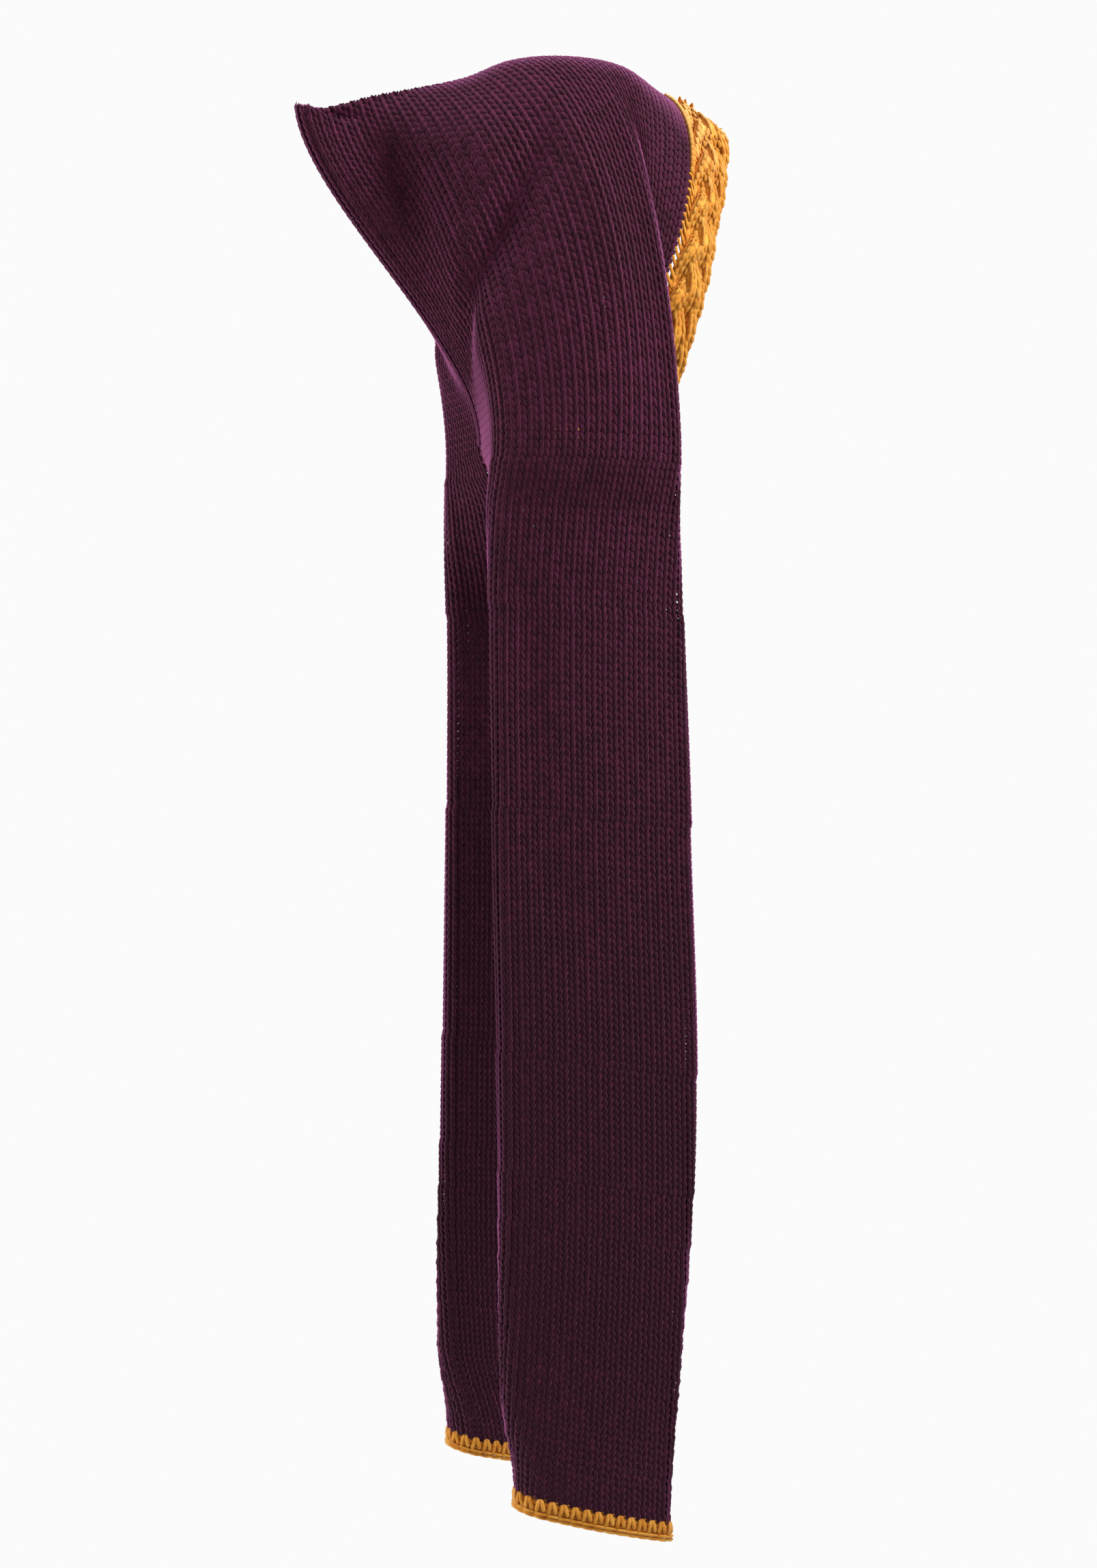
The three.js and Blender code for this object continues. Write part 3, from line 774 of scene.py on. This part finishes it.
class Laid:
    """Stitches collected for one piece: where each lies, its upward and outward way, and its size.

    Width and height are in millimetres, and depth is a share of the stitch's own."""

    def __init__(self):
        self.parts = []

    def add(self, points, up, out, width, height, depth=1.0):
        size = np.stack(np.broadcast_arrays(width / NOMINAL_WALE, height / NOMINAL_COURSE, depth), -1)
        self.parts.append((points, up, out, np.broadcast_to(size, points.shape)))

    def grown(self, name, piece, material, seed):
        points, up, out, size = (np.concatenate(part) for part in zip(*self.parts))
        base = carriers(name + "_carriers", *laid(points, up, out), size)
        values = {"Stitch": piece, "Yarn": material, "Tone spread": TONE_SPREAD, "Seed": seed}
        return grown(name, base, repeat, values)


FINE_LEG = ((0.35, -3.9, -0.9), (0.95, -1.9, 0.65), (1.75, 0.0, 1.1), (2.6, 1.9, 0.75), (3.5, 4.1, -0.9))
CHAIN_LEG = ((0.2, -3.9, -0.5), (1.2, -1.9, 0.6), (1.9, 0.0, 0.9), (1.9, 1.9, 0.6), (1.0, 4.1, -0.5))
CABLE_LEG = ((0.9, -5.6, -0.9), (1.4, -2.6, 0.3), (1.9, 0.0, 0.6), (2.3, 2.6, 0.3), (2.6, 5.6, -0.9))
mustard_stitch = stitch("mustard_stitch", FINE_LEG, 1.5, 1.35, 5)
cable_stitch = stitch("cable_stitch", CABLE_LEG, 1.8, 1.15, 5)
chain_stitch = stitch("chain_stitch", CHAIN_LEG, 1.9, 1.7, 5)
brim_stitches = Laid()
strand_lines, strand_outs = {}, {}


def strand(path, wales, wale):
    """A strand of some wales side by side along path(forth), rounded like a rope: a body of yarn and the
    stitches that show on it."""
    fine = np.arange(-BAND_REACH + 1.0, BAND_REACH - 1.0, STRAND_STEP)
    aside, rise = path(fine)
    points, out = on_band(aside, fine, rise)
    strand_lines.setdefault(wales, []).append(points)
    strand_outs.setdefault(wales, []).append(out)
    forth = np.arange(-BAND_REACH + BAND_COURSE / 2, BAND_REACH, BAND_COURSE)
    for beside in np.arange(wales) - (wales - 1) / 2:

        def course(forth):
            aside, rise = path(forth)
            rise = rise + STITCH_SEAT * BRAID_HALF_DEPTH - BRAID_ROUND * beside**2
            return on_band(aside + beside * wale, forth, rise)

        points, out = course(forth)
        ahead = course(forth + 1)[0] - course(forth - 1)[0]
        out = unit(out + unit(np.cross(ahead, out)) * STITCH_TURN * beside)
        length = np.linalg.norm(ahead, axis=1) / 2 * BAND_COURSE
        brim_stitches.add(points, ahead, out, wale * STITCH_WIDER, length, STITCH_DEPTH)


def braid_path(phase):
    """A strand of the three-strand braid: out and back, over on one way and under on the other."""
    def path(forth):
        turn = 2 * math.pi * (forth / BRAID_TWIST + phase)
        return BRAID_MIDDLE + BRAID_SWING * np.sin(turn), BRAID_HEIGHT + BRAID_LIFT * np.sin(2 * turn)
    return path


def rope_path(phase):
    """A strand of the two-strand rope."""
    def path(forth):
        turn = 2 * math.pi * (forth / ROPE_TWIST + phase)
        return ROPE_MIDDLE + ROPE_SWING * np.sin(turn), BRAID_HEIGHT + ROPE_LIFT * np.cos(turn)
    return path


for phase in (0, 1 / 3, 2 / 3):
    strand(braid_path(phase), BRAID_WALES, BAND_WALE)
for phase in (0, 1 / 2):
    strand(rope_path(phase), 1, ROPE_WALE)

edge_forth = np.arange(-BAND_REACH, BAND_REACH, CHAIN_STITCH) + CHAIN_STITCH / 2
edge_points, edge_out = on_band(np.full_like(edge_forth, BAND_WIDTH - 1), edge_forth, 0.6)
edge_ahead = np.gradient(edge_points, axis=0)
rim_chain = Laid()
edge_length = np.linalg.norm(edge_ahead, axis=1) * RIM_STRETCH
rim_chain.add(edge_points, edge_ahead, edge_out, CHAIN_WIDTH, edge_length)

brim_knit = brim_stitches.grown("brim_cables", cable_stitch, mustard_yarn, 11)
brim_strands = []
for wales, lines in strand_lines.items():
    half_height = wales * BAND_WALE / 2 * STRAND_FILL
    base = lines_object("strand_lines", lines, strand_outs[wales])
    values = {"Half height": half_height / 1000, "Flatness": BRAID_HALF_DEPTH / half_height, "Sides": 10,
              "Yarn": mustard_yarn}
    brim_strands.append(grown(f"brim_strands_of_{wales}", base, draw_course, values))
brim_rim = rim_chain.grown("brim_rim_chain", chain_stitch, mustard_yarn, 13)

# The sewing of the brim: over the forehead it lies close, under a chain of stitches. Further down it is
# stretched, so the band's end loops stand apart like lace and hook into the plum edge one by one.

SEAM_OPENS = 96.0
LOOP_PITCH = 6.6
LOOP_REACH = 13.0
LOOP_YARN = 0.9
LOOP_SPREAD = 0.6
BUMP_YARN = 1.2
GROUND_START = 0.8
GROUND_END = 1.5
GROUND_WAVE = 0.9
CLOSED_WIDTH = 0.9

# Half a lace loop, from the band to the plum edge: how far it is from the sewn edge, half its width before
# LOOP_SPREAD narrows it, and how high it stands. Lengths are in millimetres.
LOOP = columns(
    "aside apart rise",
    (LOOP_REACH, 1.3, -0.4),
    (8.0, 1.1, 0.6),
    (3.5, 0.8, 1.4),
    (0.0, 0.7, 2.6),
    (-1.6, 0.4, 1.6),
)

# A plum bump of the face edge between two loops. Its place forth is a share of LOOP_PITCH.
BUMP = columns(
    "aside forth rise",
    (-3.0, -0.20, 0.5),
    (0.2, -0.12, 1.2),
    (1.0, 0.00, 0.6),
    (0.2, 0.12, 1.2),
    (-3.0, 0.20, 0.5),
)

ground_lines, ground_outs = [], []
for forth in np.arange(-BAND_REACH + BAND_COURSE / 2, BAND_REACH, BAND_COURSE):
    start = LOOP_REACH - 2.5 if abs(forth) > SEAM_OPENS else GROUND_START
    aside = np.linspace(start, BAND_WIDTH - GROUND_END, 24)
    wave = GROUND_WAVE * np.cos(2 * math.pi * aside / BAND_WALE)
    points, out = on_band(aside, forth + wave, np.full_like(aside, -GROUND_SINK))
    ground_lines.append(points)
    ground_outs.append(out)
ground_base = lines_object("brim_lines", ground_lines, ground_outs)
ground = grown("brim_ground", ground_base, draw_course,
               {"Half height": GROUND_HALF_HEIGHT / 1000, "Sides": 4, "Yarn": mustard_yarn,
                "Flatness": GROUND_HALF_DEPTH / GROUND_HALF_HEIGHT})

closed = Laid()
closed_forth = np.arange(-SEAM_OPENS, SEAM_OPENS, BAND_COURSE) + BAND_COURSE / 2
closed_points, closed_out = on_band(np.full_like(closed_forth, 1.2), closed_forth, 1.0)
closed_ahead = np.gradient(closed_points, axis=0)
closed_length = np.linalg.norm(closed_ahead, axis=1)
closed.add(closed_points, closed_ahead, closed_out, CHAIN_WIDTH * CLOSED_WIDTH, closed_length)
closed_seam = closed.grown("brim_seam_chain", chain_stitch, mustard_yarn, 12)



def across_edge(forth, aside, rise):
    """Points on the band's straight run across its sewn edge, also beyond it, with the outward way."""
    row = np.interp(forth, band_length, np.arange(len(band)))
    inner, outer = sampled(band, row, np.zeros(len(row))), sampled(band, row, np.ones(len(row)))
    out = unit(sampled(band_out, row, np.zeros(len(row))))
    return inner + (outer - inner) * aside[:, None] + out * rise[:, None], out


apart = LOOP["apart"] * LOOP_SPREAD
apart = np.concatenate((-apart, apart[::-1]))
loop_aside = np.concatenate((LOOP["aside"], LOOP["aside"][::-1]))
loop_rise = np.concatenate((LOOP["rise"], LOOP["rise"][::-1]))
loop_lines, loop_outs, bump_lines, bump_outs = [], [], [], []
for side in (-1, 1):
    for forth in side * np.arange(SEAM_OPENS + LOOP_PITCH / 2, BAND_REACH - 2, LOOP_PITCH):
        points, out = across_edge(forth + apart, loop_aside, loop_rise)
        loop_lines.append(points)
        loop_outs.append(out)
        points, out = across_edge(forth + LOOP_PITCH * (0.5 + BUMP["forth"]), BUMP["aside"], BUMP["rise"])
        bump_lines.append(points)
        bump_outs.append(out)
loops = grown("brim_seam_loops", lines_object("loop_lines", loop_lines, loop_outs), draw_course,
              {"Half height": LOOP_YARN / 1000, "Flatness": 1.0, "Sides": 6, "Yarn": mustard_yarn})
bumps = grown("face_edge_bumps", lines_object("bump_lines", bump_lines, bump_outs), draw_course,
              {"Half height": BUMP_YARN / 1000, "Flatness": 1.0, "Sides": 6, "Yarn": plum_yarn})

for piece in (ground, brim_knit, brim_rim, closed_seam, loops, bumps, *brim_strands):
    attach(piece, "root")
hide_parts("brim_band")

# Hems: each tail's cast-on edge is worked in mustard yarn. One row of fat stitches hangs down from the
# plum like pointed arches, and a thick bound-off chain lies below it along the wavy lower edge.

HEM_HEIGHT = 12.5
ARCH_HEIGHT = 8.6
ARCH_MIDDLE = 3.6
HEM_CHAIN = 10.6
HEM_CHAIN_WIDTH = 5.2
HEM_LINES = (2.6, 7.4)
HEM_LINE_HALF_HEIGHT = 2.8
HEM_LINE_FLATNESS = 0.35
HEM_START = -4.0
HEM_ROWS = 34
ARCH_WIDTH = NOMINAL_WALE * 1.02
ARCH_DEPTH = 1.1
HEM_CHAIN_STRETCH = 1.15
HEM_CHAIN_DEPTH = 1.2

hem_across = np.linspace(0, 1, WALES * WALE_STEPS + 1)
hem_rows = np.linspace(HEM_START, HEM_HEIGHT, HEM_ROWS)
wale_middles = np.arange(WALE_STEPS // 2, WALES * WALE_STEPS, WALE_STEPS)


def on_hem(hem, hem_out, down, places):
    """Points of a hem's middle surface that far below the plum, with the outward way."""
    row = np.full(len(places), (down - HEM_START) / (HEM_HEIGHT - HEM_START) * (HEM_ROWS - 1))
    return sampled(hem, row, places), unit(sampled(hem_out, row, places))


for side, node, seed in ((1, "hem_right", 21), (-1, "hem_left", 22)):
    hem = tail_points(hem_across, 1 + hem_rows / TAIL_LENGTH) * (side, 1, 1)
    hem_out = outward(hem) * side
    arches = Laid()
    points, out = on_hem(hem, hem_out, ARCH_MIDDLE, wale_middles)
    below, _ = on_hem(hem, hem_out, ARCH_MIDDLE + 1, wale_middles)
    arches.add(points, below - points, out, ARCH_WIDTH, ARCH_HEIGHT, ARCH_DEPTH)
    hem_knit = arches.grown(node + "_stitches", mustard_stitch, mustard_yarn, seed)
    chain = Laid()
    points, out = on_hem(hem, hem_out, HEM_CHAIN, (np.arange(WALES) + 0.5) * WALE_STEPS)
    ahead = np.gradient(points, axis=0)
    length = np.linalg.norm(ahead, axis=1) * HEM_CHAIN_STRETCH
    chain.add(points, ahead, out, HEM_CHAIN_WIDTH, length, HEM_CHAIN_DEPTH)
    hem_chain = chain.grown(node + "_chain", chain_stitch, mustard_yarn, seed + 10)
    lines, outs = [], []
    for down in HEM_LINES:
        points, out = on_hem(hem, hem_out, down, np.arange(WALES * WALE_STEPS + 1.0))
        lines.append(points - out * COURSE_SINK)
        outs.append(out)
    values = {"Half height": HEM_LINE_HALF_HEIGHT / 1000, "Flatness": HEM_LINE_FLATNESS, "Sides": 4,
              "Yarn": mustard_yarn}
    backing = grown(node + "_courses", lines_object(node + "_lines", lines, outs), draw_course, values)
    for piece in (backing, hem_knit, hem_chain):
        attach(piece, "root")
    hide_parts(node)

# The studio: a floor in matt white paint far below and an even white room. One soft lamp stands above the
# face on the camera's side, two large ones light the far side and the back, and a weak one the nape.
# Places and sizes are in metres, powers in watts.

ROOM_WHITE = "#fbfbfb"
ROOM_GLOW = 0.4
FLOOR_DROP = 1.75
FLOOR_HALF = 1.2
CAMERA_PLACE = (-1.606, 0.557, -0.535)
CAMERA_AIM = (-0.00175, -0.0050, -0.535)
CAMERA_LENS = 52.57

floor_mesh = bpy.data.meshes.new("floor")
floor_mesh.from_pydata([(-FLOOR_HALF, -FLOOR_HALF, -FLOOR_DROP), (FLOOR_HALF, -FLOOR_HALF, -FLOOR_DROP),
                        (FLOOR_HALF, FLOOR_HALF, -FLOOR_DROP), (-FLOOR_HALF, FLOOR_HALF, -FLOOR_DROP)],
                       [], [(0, 1, 2, 3)])
floor = bpy.data.objects.new("floor", floor_mesh)
bpy.context.scene.collection.objects.link(floor)
floor_material = bpy.data.materials.new("white paint")
floor_material.use_nodes = True
paint = floor_material.node_tree.nodes["Principled BSDF"]
paint.inputs["Base Color"].default_value = linear(ROOM_WHITE)
paint.inputs["Roughness"].default_value = 0.9
floor_mesh.materials.append(floor_material)

world = bpy.data.worlds.new("white room")
world.use_nodes = True
room = world.node_tree
background = room.nodes["Background"]
background.inputs["Color"].default_value = linear(ROOM_WHITE)
seen = add_node(room, "ShaderNodeLightPath")
glow = add_node(room, "ShaderNodeMapRange", inputs={"To Min": ROOM_GLOW, "To Max": 1.0},
                links={"Value": (seen, "Is Camera Ray")})
room.links.new(glow.outputs["Result"], background.inputs["Strength"])
bpy.context.scene.world = world


def lamp(name, place, aim, size, power):
    """A square soft lamp that faces a point."""
    light = bpy.data.lights.new(name, "AREA")
    light.size = size
    light.energy = power
    obj = bpy.data.objects.new(name, light)
    obj.location = place
    obj.rotation_euler = (Vector(aim) - Vector(place)).to_track_quat("-Z", "Y").to_euler()
    bpy.context.scene.collection.objects.link(obj)


lamp("front softbox", (-0.75, -1.05, 0.95), (0, 0, -0.2), 0.9, 46)
lamp("back softbox", (1.6, -1.2, 0.6), (0, 0, -0.4), 1.8, 40)
lamp("far back softbox", (1.0, 1.9, 0.2), (0, 0, -0.4), 1.8, 40)
lamp("nape softbox", (0.3, 2.1, -0.5), (0, 0, -0.5), 1.0, 14)

lens = bpy.data.cameras.new("camera")
lens.lens = CAMERA_LENS
camera = bpy.data.objects.new("camera", lens)
camera.location = CAMERA_PLACE
looking = Vector(CAMERA_AIM) - Vector(CAMERA_PLACE)
camera.rotation_euler = looking.to_track_quat("-Z", "Y").to_euler()
bpy.context.scene.collection.objects.link(camera)
bpy.context.scene.camera = camera
bpy.context.scene.view_settings.view_transform = "Standard"

for pattern in (plum_stitch, mustard_stitch, chain_stitch, cable_stitch):
    bpy.data.objects.remove(pattern)
